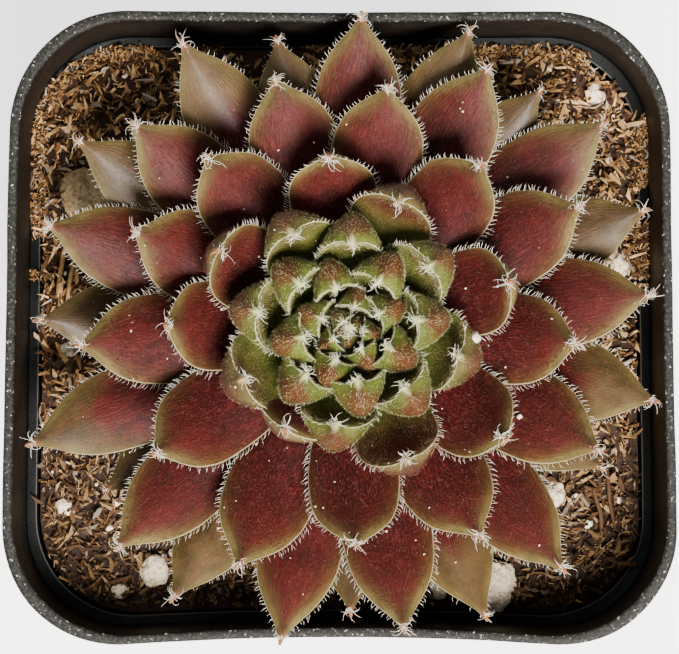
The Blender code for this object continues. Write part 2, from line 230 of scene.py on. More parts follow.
# %% [markdown]
# ## A heap of small shapes
#
# Thousands of hairs as thousands of objects would be slow, and hair systems are lost when the model is
# exported. So small shapes are heaped into one mesh. Each point also carries two painted vectors: `place`
# says where on its leaf or chip it lies, and `kind` says what sort of leaf or chip that is. A material
# reads them as attributes, so one finish can serve seventy different leaves.

# %% The heap
class Heap:
    """Points, faces and painted values of many shapes that become one piece."""

    def __init__(self):
        self.points = []
        self.faces = []
        self.place = []
        self.kind = []

    def add(self, points, faces, kind, place=None):
        start = len(self.points)
        self.points.extend(points)
        self.faces.extend([tuple(start + corner for corner in face) for face in faces])
        self.place.extend(place or [(0.0, 0.0, 0.0)] * len(points))
        self.kind.extend([kind] * len(points))

    def add_rings(self, rings, kind, place=None):
        """A closed skin over rings of points."""
        self.add([point for ring in rings for point in ring], loft(rings), kind, place)

    def piece(self, name, material, slot, replaced=(), sharp_angle=None):
        """Turn the heap into a piece that rides on the pot."""
        mesh = bpy.data.meshes.new(name)
        mesh.from_pydata(self.points, [], self.faces)
        for layer, values in (("place", self.place), ("kind", self.kind)):
            attribute = mesh.attributes.new(layer, "FLOAT_VECTOR", "POINT")
            attribute.data.foreach_set("vector", [number for value in values for number in value])
        dress(name, mesh, material, replaced, sharp_angle)


def dress(name, mesh, material, replaced=(), sharp_angle=None):
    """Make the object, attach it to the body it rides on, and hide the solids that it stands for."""
    mesh.materials.append(material)
    mesh.shade_smooth()
    if sharp_angle:
        mesh.set_sharp_from_angle(angle=math.radians(sharp_angle))
    piece = linked(name, mesh)
    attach(piece, "root")
    if replaced:
        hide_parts(*replaced)
    mesh.calc_loop_triangles()
    print(f"{name}: {len(mesh.loop_triangles)} triangles")


def loft(rings, closed=True):
    """Faces of a skin over rings of equal length, laid end to end, with both ends capped."""
    count = len(rings[0])
    faces = []
    for start in range(0, (len(rings) - 1) * count, count):
        for i in range(count):
            j = (i + 1) % count
            faces.append((start + i, start + j, start + count + j, start + count + i))
    if closed:
        faces.append(tuple(reversed(range(count))))
        faces.append(tuple(range((len(rings) - 1) * count, len(rings) * count)))
    return faces


def table(position, positions, values):
    """Read a value between the entries of a table."""
    if position <= positions[0]:
        return values[0]
    for i in range(1, len(positions)):
        if position <= positions[i]:
            share = (position - positions[i - 1]) / (positions[i] - positions[i - 1])
            return values[i - 1] + (values[i] - values[i - 1]) * share
    return values[-1]

# %% [markdown]
# ## The pot
#
# The real pot is thin black plastic, blown to a tapered square with a collar that stacks on the next pot.
# Its outline is a rounded square whose corner radius grows towards the rim. Lofting that outline through
# a profile of heights and insets gives the whole shell, inside and out, in one go. A subdivision surface
# would round it too, but it would pull the walls away from the solid's true size.

# %% Sizes of the pot
POT_WIDTH = 65.0 * MM
POT_DEPTH = 61.8 * MM
POT_HEIGHT = 60.0 * MM
RIM_CORNER = 11.5 * MM
FOOT_CORNER = 7.0 * MM
RIM_SAG = 0.85 * MM
FAR_SAG = 0.15 * MM
RIM_SPLAY = 0.015
RIM_WAVE = 0.12 * MM
RIM_WAVE_LENGTH = 7.0 * MM
SHOULDER_HEIGHT = 50.0 * MM
COLLAR_TAPER = 0.6 * MM
BODY_TOP_INSET = 1.6 * MM
FOOT_INSET = 8.0 * MM
WALL = 0.95 * MM
LIP_ROUND = 0.33 * MM
SHOULDER_DROP = 0.6 * MM
FLOOR_UNDERSIDE = 1.6 * MM
FLOOR_TOP = 2.8 * MM
FOOT_WIDTH = 1.7 * MM
FOOT_ROUND = 0.55 * MM
CORNER_SHRINK = 0.35
LEAST_CORNER = 3.0 * MM
CORNER_STEPS = 18
SIDE_STEPS = 12
GAP = 0.3 * MM


def outer_inset(height):
    """How far the body's outside lies in from the rim, below the shoulder."""
    return BODY_TOP_INSET + (FOOT_INSET - BODY_TOP_INSET) * (SHOULDER_HEIGHT - height) / SHOULDER_HEIGHT


def pot_ring(height, inset):
    """The pot's outline at a height: the foot is stiff, and the thin rim sags and splays most."""
    share = height / POT_HEIGHT
    corner = max(FOOT_CORNER + (RIM_CORNER - FOOT_CORNER) * share - CORNER_SHRINK * inset, LEAST_CORNER)
    half_x = POT_WIDTH / 2 - inset
    half_y = POT_DEPTH / 2 - inset
    points = []
    for quarter in range(4):
        sign_x = 1 if quarter in (0, 3) else -1
        sign_y = 1 if quarter in (0, 1) else -1
        for step in range(CORNER_STEPS + 1):
            angle = (quarter + step / CORNER_STEPS) * math.pi / 2
            points.append(Vector((sign_x * (half_x - corner) + corner * math.cos(angle),
                                  sign_y * (half_y - corner) + corner * math.sin(angle), height)))
        end = points[-1].copy()
        for step in range(1, SIDE_STEPS):
            part = step / SIDE_STEPS
            if quarter in (0, 2):
                sag = (FAR_SAG if quarter == 0 else RIM_SAG) * share**2 * (1 - (2 * part - 1) ** 2)
                points.append(end + Vector((-sign_x * 2 * (half_x - corner) * part, -sign_y * sag, 0)))
            else:
                points.append(end + Vector((0, -sign_y * 2 * (half_y - corner) * part, 0)))
    for point in points:
        point.x *= 1 - RIM_SPLAY * share**2 * point.y / (POT_DEPTH / 2)
        ripple = noise.noise(Vector((point.x, point.y, 0)) / RIM_WAVE_LENGTH) * RIM_WAVE * share**4
        point.xy *= 1 + ripple / point.xy.length
    return points

# %% [markdown]
# The lip and the foot are turned as small arcs, so that a thin highlight runs along them. Five drain
# holes and four water notches are cut with Boolean modifiers, which are applied at once and their cutters
# removed.

# %% Loft and cut the pot
LIP_STEPS = 4
COLLAR_BEVEL = 0.1 * MM
DRAIN_RADIUS = 2.4 * MM
DRAIN_SPACING = 11.0 * MM
DRAIN_SIDES = 32
NOTCH_WIDTH = 6.0 * MM
NOTCH_HEIGHT = 1.2 * MM


def arc(centre_height, centre_inset, radius, start, end):
    """Profile points round an arc: 0 degrees points into the pot and 90 degrees up."""
    points = []
    for step in range(LIP_STEPS + 1):
        angle = math.radians(start + (end - start) * step / LIP_STEPS)
        points.append((centre_height + radius * math.sin(angle), centre_inset + radius * math.cos(angle)))
    return points


def cut_out(mesh, cutters):
    """The mesh with each cutter mesh taken out of it."""
    whole = linked("shell", mesh)
    tools = []
    for cutter in cutters:
        tool = linked("cutter", cutter)
        tools.append(tool)
        cut = whole.modifiers.new("cut", "BOOLEAN")
        cut.operation = "DIFFERENCE"
        cut.object = tool
        cut.solver = "EXACT"
    result = bpy.data.meshes.new_from_object(whole.evaluated_get(bpy.context.evaluated_depsgraph_get()))
    for spare in [whole, *tools]:
        bpy.data.objects.remove(spare)
    return result


def as_mesh(bm, name):
    """A mesh of what this bmesh holds."""
    mesh = bpy.data.meshes.new(name)
    bm.to_mesh(mesh)
    bm.free()
    return mesh


def block(size_x, size_y, size_z):
    bm = bmesh.new()
    bmesh.ops.create_cube(bm, size=1)
    bmesh.ops.scale(bm, vec=(size_x, size_y, size_z), verts=bm.verts)
    return as_mesh(bm, "block")


def drain(x, y):
    bm = bmesh.new()
    bmesh.ops.create_cone(bm, cap_ends=True, segments=DRAIN_SIDES, depth=4 * FLOOR_TOP,
                          radius1=DRAIN_RADIUS, radius2=DRAIN_RADIUS)
    bmesh.ops.translate(bm, vec=(x, y, 0), verts=bm.verts)
    return as_mesh(bm, "drain")


floor_inset = WALL + outer_inset(FLOOR_TOP)
profile = [(FLOOR_UNDERSIDE, FOOT_INSET + FOOT_WIDTH + LIP_ROUND), (0.0, FOOT_INSET + FOOT_WIDTH)]
profile += arc(FOOT_ROUND, FOOT_INSET + FOOT_ROUND, FOOT_ROUND, 270, 180)
profile += [
    (SHOULDER_HEIGHT - SHOULDER_DROP, BODY_TOP_INSET),
    (SHOULDER_HEIGHT - COLLAR_BEVEL, COLLAR_TAPER + COLLAR_BEVEL),
    (SHOULDER_HEIGHT + COLLAR_BEVEL, COLLAR_TAPER),
]
profile += arc(POT_HEIGHT - LIP_ROUND, LIP_ROUND, LIP_ROUND, 180, 90)
profile += arc(POT_HEIGHT - LIP_ROUND, WALL - LIP_ROUND, LIP_ROUND, 90, 0)
profile += [(SHOULDER_HEIGHT + 2 * LIP_ROUND, WALL + COLLAR_TAPER)]
profile += arc(SHOULDER_HEIGHT + LIP_ROUND, WALL + COLLAR_TAPER + LIP_ROUND, LIP_ROUND, 180, 230)
profile += arc(SHOULDER_HEIGHT - SHOULDER_DROP / 2, WALL + BODY_TOP_INSET - LIP_ROUND, LIP_ROUND, 60, 0)
profile += [(FLOOR_TOP + LIP_ROUND * 2, floor_inset), (FLOOR_TOP, floor_inset + 2 * LIP_ROUND)]
rings = [pot_ring(height, inset) for height, inset in profile]
shell = bpy.data.meshes.new("shell")
shell.from_pydata([point for ring in rings for point in ring], [], loft(rings))
sides = (-DRAIN_SPACING, DRAIN_SPACING)
cutters = [drain(x, y) for x, y in [(0, 0)] + [(x, y) for x in sides for y in sides]]
cutters.append(block(2 * POT_WIDTH, NOTCH_WIDTH, 2 * NOTCH_HEIGHT))
cutters.append(block(NOTCH_WIDTH, 2 * POT_WIDTH, 2 * NOTCH_HEIGHT))
pot_mesh = cut_out(shell, cutters)

# %% [markdown]
# Black nursery plastic isn't one black. It is satin rather than glossy, slightly mottled by the mould, and
# the lip is rubbed grey where fingers and other pots touch it. That grey is also a painted sheen, standing
# in for the light that its flat top catches. So the finish reads the height of each point: near the top of
# the lip it mixes in a grey of scuffing and painted sheen, with noise to break its edge, and a finer noise
# leaves pale nicks. Dried water leaves a film inside the collar, and a thin pale line along the edge of the
# ledge is a painted highlight.

# %% Black plastic, scuffed and with a painted sheen along the lip
LEDGE_EDGE = SHOULDER_HEIGHT - SHOULDER_DROP / 2 + 0.12 * MM

plastic = Finish("black plastic", {"IOR": 1.5, "Specular IOR Level": 0.15})
_, _, level = plastic.place.split()
mottle = plastic.place.grain(1.6 * MM, 4.0, 0.6)
fine = plastic.place.grain(0.3 * MM, 2.0)
lip = level.step(POT_HEIGHT - 0.5 * MM, POT_HEIGHT - 0.05 * MM)
# Grey on top of the lip: scuffing, and a painted sheen where the flat top catches the lamp.
lip_sheen_and_scuffs = lip * (mottle * 0.7 + fine * 0.5).step(0.2, 0.75)
# A painted highlight: a thin pale line along the edge of the ledge.
ledge_highlight = abs(level - LEDGE_EDGE).step(0.16 * MM, 0.06 * MM)
nicks = plastic.place.grain(0.4 * MM, 3.0, 0.7).step(0.62, 0.7)
nicks = nicks * level.step(POT_HEIGHT - 0.9 * MM, POT_HEIGHT)
film = mottle.step(0.3, 0.8) * 0.6 + 0.4
film = film * level.step(SHOULDER_HEIGHT + 0.2 * MM, SHOULDER_HEIGHT + 1.5 * MM)
body = film.blend(colour("030303"), colour("1e1814"))
wear_and_highlights = lip_sheen_and_scuffs.blend(body, fine.step(0.35, 0.7).blend(colour("171614"), colour("302e2b")))
wear_and_highlights = (ledge_highlight * 0.5).blend(wear_and_highlights, colour("6f6c66"))
wear_and_highlights = (nicks * 0.8).blend(wear_and_highlights, colour("d6d0c4"))
scratches = plastic.place.grain(0.2 * MM, 3.0, 0.6)
plastic_finish = plastic.feed(base_color=wear_and_highlights, roughness=0.4 + mottle * 0.25 + lip * 0.1,
                              height=scratches + mottle, depth=0.03 * MM)
dress("pot_shell", pot_mesh, plastic_finish, ["pot"], sharp_angle=50)

# %% [markdown]
# ## One leaf, as a formula
#
# A houseleek sets each new leaf 137.6 degrees on from the last. The leaves get longer, flatter and lower
# as they age, so a leaf is described by its age alone: tables give the reach and height of its tip, its
# width, its thickness and its slopes. Many leaves stray from the spiral, as in the photograph: STRAYS
# turns their bearing by some degrees and stretches their reach in millimetres, and RISES lifts some tips.
# Its midrib is a cubic curve. `skin` gives any point of the surface, from the share of the length and the
# angle round the section. The same formula later roots every hair exactly on the skin.

# %% Tables of the rosette
STEM_BASE = Vector((0.9, 1.7, 52.0)) * MM
STEM_APEX = Vector((0.9, -0.7, 63.5)) * MM
STEM_BURIED = 14.0 * MM
STEM_BASE_RADIUS = 3.2 * MM
STEM_APEX_RADIUS = 1.0 * MM
STEM_FOOT_RADIUS = 1.8 * MM
TOP_ROOT_DROP = 1.0 * MM
LEAF_COUNT = 70
FIRST_BEARING = 352.0
GOLDEN_TURN = 137.6
SUNK_ROOT = 0.45
CURVE_HANDLE = 0.38
AGES = (0, 5, 10, 22, 30, 36, 43, 50, 60, 69)
TIP_REACH = (1.4, 2.9, 4.6, 11.2, 18.4, 23.0, 27.4, 31.4, 31.0, 29.2)
TIP_HEIGHT = (69.5, 70.5, 71.2, 71.0, 69.5, 68.0, 66.0, 64.0, 61.2, 58.5)
LEAF_WIDTH = (2.6, 5.0, 7.0, 8.6, 8.8, 9.0, 9.0, 8.7, 8.2, 7.4)
LEAF_DEPTH = (1.1, 1.5, 1.9, 2.4, 2.5, 2.5, 2.4, 2.3, 2.1, 1.9)
ROOT_SLOPE = (62, 50, 42, 24, 12, 8, 5, 3, 2, 2)
TIP_SLOPE = (100, 118, 130, 118, 74, 54, 42, 32, 24, 18)
CUP_PER_MM = (0.45, 0.42, 0.34, 0.15, 0.04, 0.01, 0.0, 0.0, 0.0, 0.0)
STRAYS = {
    14: (4, -0.7), 19: (5, 0.0), 20: (3, -0.4), 22: (4, 0.0), 24: (3, 1.1), 26: (-1, 0.8),
    27: (3, -3.6), 28: (-2, -1.0), 29: (1, 1.3), 30: (-2, -0.9), 31: (3, 0.4), 32: (3, 1.8),
    34: (0, 0.6), 35: (-1, 0.6), 36: (2, -0.4), 37: (0, 1.0), 38: (-5, -1.9), 40: (-2, 0.9),
    41: (-3, -2.0), 42: (-1, 0.8), 43: (-9, -1.0), 44: (3, -0.2), 45: (0, 2.4), 46: (-4, -1.0),
    47: (-1, -0.2), 48: (-2, 1.7), 49: (-2, -1.6), 50: (-2, 1.1), 51: (-11, -0.5), 53: (-1, 1.3),
    56: (-4, 2.6), 57: (-2, -0.9), 58: (3, 1.6), 59: (-6, 0.5), 60: (3, -0.1), 61: (0, 2.3),
    62: (4, -2.7), 63: (5, -1.0), 64: (-4, 0.5), 65: (1, -1.0), 67: (0, -5.0), 68: (0, -4.0),
    69: (-1, 0.7),
}
RISES = {27: 1.0, 38: 0.3, 41: 0.3, 49: 0.6, 51: -0.6, 56: 0.4, 62: -0.4, 67: -0.5, 68: -0.5}
OUTLINE_SHARES = (0.0, 0.12, 0.24, 0.36, 0.48, 0.57, 0.66, 0.74, 0.80, 0.85, 0.90, 0.93, 0.955, 0.98, 1.0)
OUTLINE_WIDTHS = (0.42, 0.52, 0.66, 0.83, 0.96, 1.0, 1.0, 0.95, 0.85, 0.70, 0.46, 0.28, 0.15, 0.07, 0.03)
DEPTH_SHARES = (0.0, 0.48, 0.82, 0.93, 0.97, 1.0)
DEPTH_PARTS = (0.9, 1.0, 0.8, 0.5, 0.3, 0.1)
SECTION_AGES = (0, 5, 10, 16, 24, 32, 69)
UPPER_SHARES = (0.2, 0.2, 0.2, 0.3, 0.5, 0.66, 0.66)
BACK_SWELL = (2.0, 2.3, 2.2, 2.0, 1.7, 1.5, 1.5)
BACK_KEEL = (1.5, 1.5, 1.5, 1.5, 1.5, 1.8, 2.0)
UPPER_RIDGE = 1.6
BACK_ROUND = 0.8


class Leaf:
    """One leaf of the rosette, as a formula for its skin."""

    def __init__(self, age):
        turn, stretch = STRAYS.get(age, (0, 0.0))
        rise = RISES.get(age, 0.0)
        rank = 1 - age / (LEAF_COUNT - 1)
        root_height = STEM_BASE.z + (STEM_APEX.z - STEM_BASE.z - TOP_ROOT_DROP) * rank
        climb = (root_height - STEM_BASE.z) / (STEM_APEX.z - STEM_BASE.z)
        stem_radius = STEM_BASE_RADIUS + (STEM_APEX_RADIUS - STEM_BASE_RADIUS) * climb
        self.age = age
        self.centre = STEM_BASE.lerp(STEM_APEX, climb)
        self.half_width = self.by_age(LEAF_WIDTH) / 2 * MM
        self.depth = self.by_age(LEAF_DEPTH) * MM
        self.cup = self.by_age(CUP_PER_MM) / MM
        self.upper = table(age, SECTION_AGES, UPPER_SHARES)
        self.swell = table(age, SECTION_AGES, BACK_SWELL)
        self.keel = table(age, SECTION_AGES, BACK_KEEL)
        bearing = math.radians(FIRST_BEARING - GOLDEN_TURN * age + turn)
        self.outward = Vector((math.cos(bearing), math.sin(bearing), 0))
        self.sideways = Vector((-math.sin(bearing), math.cos(bearing), 0))
        root = Vector((stem_radius * SUNK_ROOT, root_height))
        tip = Vector((self.by_age(TIP_REACH) + stretch, self.by_age(TIP_HEIGHT) + rise)) * MM
        handle = CURVE_HANDLE * (tip - root).length
        leaving = math.radians(self.by_age(ROOT_SLOPE))
        arriving = math.radians(self.by_age(TIP_SLOPE))
        self.length = (tip - root).length
        self.curve = (root, root + handle * Vector((math.cos(leaving), math.sin(leaving))),
                      tip - handle * Vector((math.cos(arriving), math.sin(arriving))), tip)

    def by_age(self, values):
        return table(self.age, AGES, values)

    def point(self, share, across, thick):
        """A point off the midrib: sideways along the cupped blade, and out along its normal."""
        root, first, second, tip = self.curve
        rest = 1 - share
        middle = rest**3 * root + 3 * rest**2 * share * first + 3 * rest * share**2 * second + share**3 * tip
        slope = rest**2 * (first - root) + 2 * rest * share * (second - first) + share**2 * (tip - second)
        slope.normalize()
        sideways, lift = across, 0.0
        if self.cup > 0:
            sideways = math.sin(across * self.cup) / self.cup
            lift = (1 - math.cos(across * self.cup)) / self.cup
        middle = middle + Vector((-slope.y, slope.x)) * (lift + thick)
        spot = self.outward * middle.x + self.sideways * sideways
        return Vector((self.centre.x + spot.x, self.centre.y + spot.y, middle.y))

    def skin(self, share, angle):
        """A point of the surface: angle 0 and 180 degrees are the margins, and 90 degrees the top."""
        across = math.cos(angle)
        width = self.half_width * table(share, OUTLINE_SHARES, OUTLINE_WIDTHS)
        thickness = self.depth * table(share, DEPTH_SHARES, DEPTH_PARTS)
        if math.sin(angle) > 0:
            thick = thickness * self.upper * (1 - abs(across) ** UPPER_RIDGE)
        else:
            back = max(0.0, 1 - abs(across) ** self.keel) ** BACK_ROUND
            thick = -thickness * (1 - self.upper) * self.swell * back
        return self.point(share, across * width, thick)

    def frame_at(self, share, angle):
        """A skin point with the direction of growth and the outward normal there."""
        small = 0.01
        growth = self.skin(min(share + small, 1.0), angle) - self.skin(share - small, angle)
        sweep = self.skin(share, angle + small) - self.skin(share, angle - small)
        normal = sweep.cross(growth).normalized()
        return self.skin(share, angle), growth.normalized(), normal


leaves = [Leaf(age) for age in range(LEAF_COUNT)]
print(f"{len(leaves)} leaves, the longest {max(leaf.length for leaf in leaves) * 1000:.0f} mm")

# %% [markdown]
# In the very middle the next leaves are still a closed bud. They are too small for the solid, so they are
# added here by the same spiral run backwards: copies of the youngest leaf, each shorter than the last.

# %% The bud
BUD_COUNT = 6
BUD_SHRINK = 0.86
BUD_CLOSING = 2.5
BUD_DROP = 0.22
BUD_UPRIGHT = 2.2


def bud_leaf(number):
    """A leaf younger than the youngest of the solid."""
    leaf = Leaf(0)
    scale = BUD_SHRINK ** number
    bearing = math.radians(FIRST_BEARING + GOLDEN_TURN * number)
    leaf.outward = Vector((math.cos(bearing), math.sin(bearing), 0))
    leaf.sideways = Vector((-math.sin(bearing), math.cos(bearing), 0))
    root, first, _, tip = leaf.curve
    tip = Vector((tip.x * scale**BUD_CLOSING, tip.y - BUD_DROP * number * MM))
    second = tip - Vector((0.0, BUD_UPRIGHT * MM))
    leaf.curve = (Vector((0.0, root.y)), Vector((first.x * scale, first.y)), second, tip)
    leaf.half_width *= scale
    leaf.depth *= scale
    return leaf


leaves += [bud_leaf(number) for number in range(1, BUD_COUNT + 1)]

# %% [markdown]
# Colour follows age too. The heart is green, the ring of mature leaves is maroon, and the lowest leaves
# fade to olive and grey-brown as they dry. A few old leaves have faded less than their neighbours, or more.
# Each leaf carries three painted numbers for its finish: how red it is, one drawn by chance, and how young.

# %% What kind of leaf each one is
RED_AGES = (0, 8, 18, 24, 50, 55, 60, 69)
RED_SHARES = (0.3, 0.35, 0.7, 1.0, 1.0, 0.42, 0.12, 0.05)
YOUNG_AGES = (0, 12, 19, 26, 69)
YOUNG_SHARES = (1.0, 0.95, 0.6, 0.0, 0.0)
FADED = {51: 1.0, 52: 0.9, 53: 1.0, 54: 0.45, 55: 0.5, 56: 0.6, 57: 0.45, 58: 0.5}

chance = random.Random(11)
for leaf in leaves:
    redness = FADED.get(leaf.age, table(leaf.age, RED_AGES, RED_SHARES))
    leaf.kind = (redness, chance.random(), table(leaf.age, YOUNG_AGES, YOUNG_SHARES))

# %% [markdown]
# ## The leaf blades
#
# Each blade is lofted from sections, closer together where the tip draws out to its point, and all the
# blades and the stem go into one heap, because the plant grew as one body. A little noise along the normal
# keeps the skins from looking turned on a lathe.

# %% Loft the blades
BLADE_STEPS = 30
BLADE_SIDES = 24
CROWDED_TIP = 1.25
CALM_TIP = 6
SKIN_WAVE = 0.09 * MM
SKIN_WAVE_LENGTH = 2.6 * MM

blades = Heap()
for leaf in leaves:
    rings = []
    places = []
    for step in range(BLADE_STEPS + 1):
        share = 1 - (1 - step / BLADE_STEPS) ** CROWDED_TIP
        ring = []
        for side in range(BLADE_SIDES):
            angle = 2 * math.pi * side / BLADE_SIDES
            point = leaf.skin(share, angle)
            outwards = point - leaf.point(share, 0, 0)
            wave = noise.noise(point / SKIN_WAVE_LENGTH + Vector((leaf.age, 0, 0))) * SKIN_WAVE
            ring.append(point + outwards.normalized() * wave * min(1.0, CALM_TIP * (1 - share)))
            places.append((share, math.cos(angle), math.sin(angle)))
        rings.append(ring)
    blades.add_rings(rings, leaf.kind, places)

STEM_SIDES = 16
STEM_KIND = (0.1, 0.5, 0.0)
STEM_LEVELS = ((STEM_BASE.z - STEM_BURIED, STEM_FOOT_RADIUS), (STEM_BASE.z, STEM_BASE_RADIUS),
               (STEM_APEX.z, STEM_APEX_RADIUS))
rings = []
for height, radius in STEM_LEVELS:
    lean = max(0.0, (height - STEM_BASE.z) / (STEM_APEX.z - STEM_BASE.z))
    centre = STEM_BASE.lerp(STEM_APEX, lean)
    ring = []
    for side in range(STEM_SIDES):
        turn = 2 * math.pi * side / STEM_SIDES
        ring.append(Vector((centre.x + radius * math.cos(turn), centre.y + radius * math.sin(turn), height)))
    rings.append(ring)
blades.add_rings(rings, STEM_KIND)

# %% [markdown]
# The skin's colour is painted from the leaf's own numbers. A maroon middle browns towards the tip, and an
# olive shoulder and a thin paler band border it, wider near the tip. Old leaves keep maroon only along
# their middle. A noise stretched along the leaf, in the leaf's own coordinates, gives the fine streaks of
# a downy skin. On the heart's leaves the upright back is seen: brown-red along its keel and green on both
# flanks. The very tip is a horny point, tan on grown leaves and yellow-green on young ones.

# %% Skin of the leaves
STREAKS = 24.0

skin = Finish("houseleek skin", {"Specular IOR Level": 0.2, "Sheen Weight": 0.04, "Sheen Roughness": 0.4,
                                 "Sheen Tint": colour("e8b8a0"), "Coat Roughness": 0.35})
share, across, face = skin.painted("place")
redness, luck, youth = skin.painted("kind")
edge = abs(across)
blotch = skin.place.grain(2.4 * MM, 3.0, 0.55)
speckle = skin.place.grain(0.22 * MM, 2.0, 0.6)
downy = skin.place.grain(0.6 * MM, 3.0, 0.7)
along = share.node("ShaderNodeCombineXYZ", {}, {0: share * STREAKS, 1: across * STREAKS, 2: luck * 50.0})
streak = along.grain(1.0, 2.0, 0.6)

maroon = blotch.step(0.3, 0.72).blend(colour("1c0000"), colour("340304"))
maroon = (share.step(0.55, 0.95) * 0.5).blend(maroon, colour("4e1c14"))
olive = (blotch + luck * 0.3).step(0.35, 0.85).blend(colour("30240f"), colour("4e3c22"))
red = (redness * 2.0 - edge * 0.6 - share.step(0.64, 0.98) * 1.6 + (blotch - 0.5) * 0.8).step(0.0, 0.8)
flesh = red.blend(olive, maroon)
flesh = (streak.step(0.5, 0.72) * 0.25 * (1 - youth)).blend(flesh, colour("7a2620"))

heart_green = blotch.step(0.3, 0.7).blend(colour("2c380c"), colour("535f20"))
# Painted shade: the inner faces of the heart's leaves darken towards their base, where the leaves above
# shade them.
heart_green = (face.step(0.0, 0.3) * share.step(0.95, 0.55) * 0.2).blend(heart_green, colour("1c2606"))
keel = (1 - edge + (streak - 0.5) * 0.7).step(0.1, 0.6) * share.step(0.45, 0.7) * share.step(0.99, 0.95)
heart = (keel * (0.35 + 0.5 * face.step(0.2, -0.2))).blend(heart_green, colour("46180e"))
green = (youth * 1.6 + 0.5 - share).step(0.0, 0.5) * youth.step(0.02, 0.2)
flesh = green.blend(flesh, heart)

past = (share - 0.55) * (1 / 0.43)
reach = past.math("MAXIMUM", past, 0.0) ** 3.0
margin = edge + reach * 0.6 + (streak - 0.5) * 0.3 - 1.0
shoulder = margin.step(-0.5, 0.05) * share.step(0.4, 0.8)
flesh = (shoulder * (1 - youth) * 0.35).blend(flesh, colour("483a18"))
band_colour = blotch.step(0.3, 0.7).blend(colour("544a22"), colour("746838"))
band = margin.step(-0.16, 0.16) * share.step(0.5, 0.9) * (1 - youth * 0.85) * (0.15 + redness * 0.35)
flesh = band.blend(flesh, band_colour)
flesh = (edge.step(0.965, 1.0) * 0.6).blend(flesh, colour("c6bc8e"))
flesh = (share.step(0.955, 1.0) * (1 - youth) * 0.7).blend(flesh, colour("a8663e"))
flesh = (share.step(0.955, 1.0) * youth * 0.9).blend(flesh, colour("dedc94"))
flesh = (speckle.step(0.55, 0.8) * 0.08).blend(flesh, colour("c08a74"))
skin_finish = skin.feed(base_color=flesh, roughness=0.36 + redness * 0.12 + downy * 0.2,
                        coat_weight=(1 - redness) * (1 - youth) * 0.15,
                        height=speckle * 0.4 + streak, depth=0.08 * MM)
blades.piece("houseleek_leaves", skin_finish, "leaf", ["rosette"])

# %% [markdown]
# ## Hairs
#
# Three kinds of hair make this plant: a down over every face, a comb of white lashes along both margins,
# and a curled tuft on each tip. A real hair is far thinner than a pixel, so each is a slim three-sided
# spike a little thicker than life, closed at its root. The skin's formula gives the root, the direction
# of growth and the normal, and a ray cast upwards tells which hairs another leaf hides, so the most
# detail goes where it is seen.

# %% A single hair
HAIR_TAPER = 0.6


def spike_faces(joints):
    """Faces of a three-sided spike with this many segments, closed at the root."""
    top = 3 * (joints - 1)
    point = [(top + i, top + (i + 1) % 3, top + 3) for i in range(3)]
    return loft([range(3)] * joints, closed=False) + [(2, 1, 0)] + point


def add_hair(heap, root, direction, length, radius, aside, curl, kind, joints=1):
    """One tapered hair that curls towards the vector aside, by this angle in all."""
    aside = (aside - direction * aside.dot(direction)).normalized()
    points = []
    for joint in range(joints + 1):
        part = joint / joints
        turn = curl * part
        centre = root + (direction * math.sin(turn) + aside * (1 - math.cos(turn))) * (length / curl)
        if joint == joints:
            points.append(centre)
            break
        heading = direction * math.cos(turn) + aside * math.sin(turn)
        first = (aside * math.cos(turn) - direction * math.sin(turn)) * (radius * (1 - HAIR_TAPER * part))
        second = heading.cross(first)
        points += [centre + first, centre + second * 0.87 - first * 0.5,
                   centre - second * 0.87 - first * 0.5]
    heap.add(points, spike_faces(joints), kind)


def scatter(chance, amount):
    """A small random vector."""
    return Vector([chance.uniform(-amount, amount) for _ in range(3)])


leaf_tree = BVHTree.FromPolygons(blades.points, blades.faces)
UP = Vector((0, 0, 1))


def hidden(point):
    """True where a leaf covers this point from above."""
    return leaf_tree.ray_cast(point + UP * 0.15 * MM, UP)[0] is not None

# %% [markdown]
# The down lies towards the tip, raised a little off the skin. It is dense on young leaves, on whose
# upright backs it shows too, and sparse on the oldest, which have rubbed bare. Two heaps keep each light.

# %% Down on the faces
DOWN_PER_MM2 = 16.0
DOWN_SHARES = (0.3, 0.99)
DOWN_AGES = (0, 14, 22, 30, 48, 56, 69)
DOWN_DENSITY = (2.3, 2.1, 1.3, 0.95, 0.85, 0.35, 0.2)
DOWN_LENGTH = (0.42, 0.5, 0.52, 0.52, 0.45, 0.34, 0.3)
DOWN_RADIUS = 0.017 * MM
DOWN_LIFT = (0.2, 0.5)
DOWN_STRAY = 0.18
DOWN_SPREAD = (0.7, 1.3)
DOWN_CURL = 0.2
DOWN_REACH_ACROSS = 0.96
HIDDEN_KEPT = 0.06
BACKS_UP_TO = 26
YOUNG_UP_TO = 36

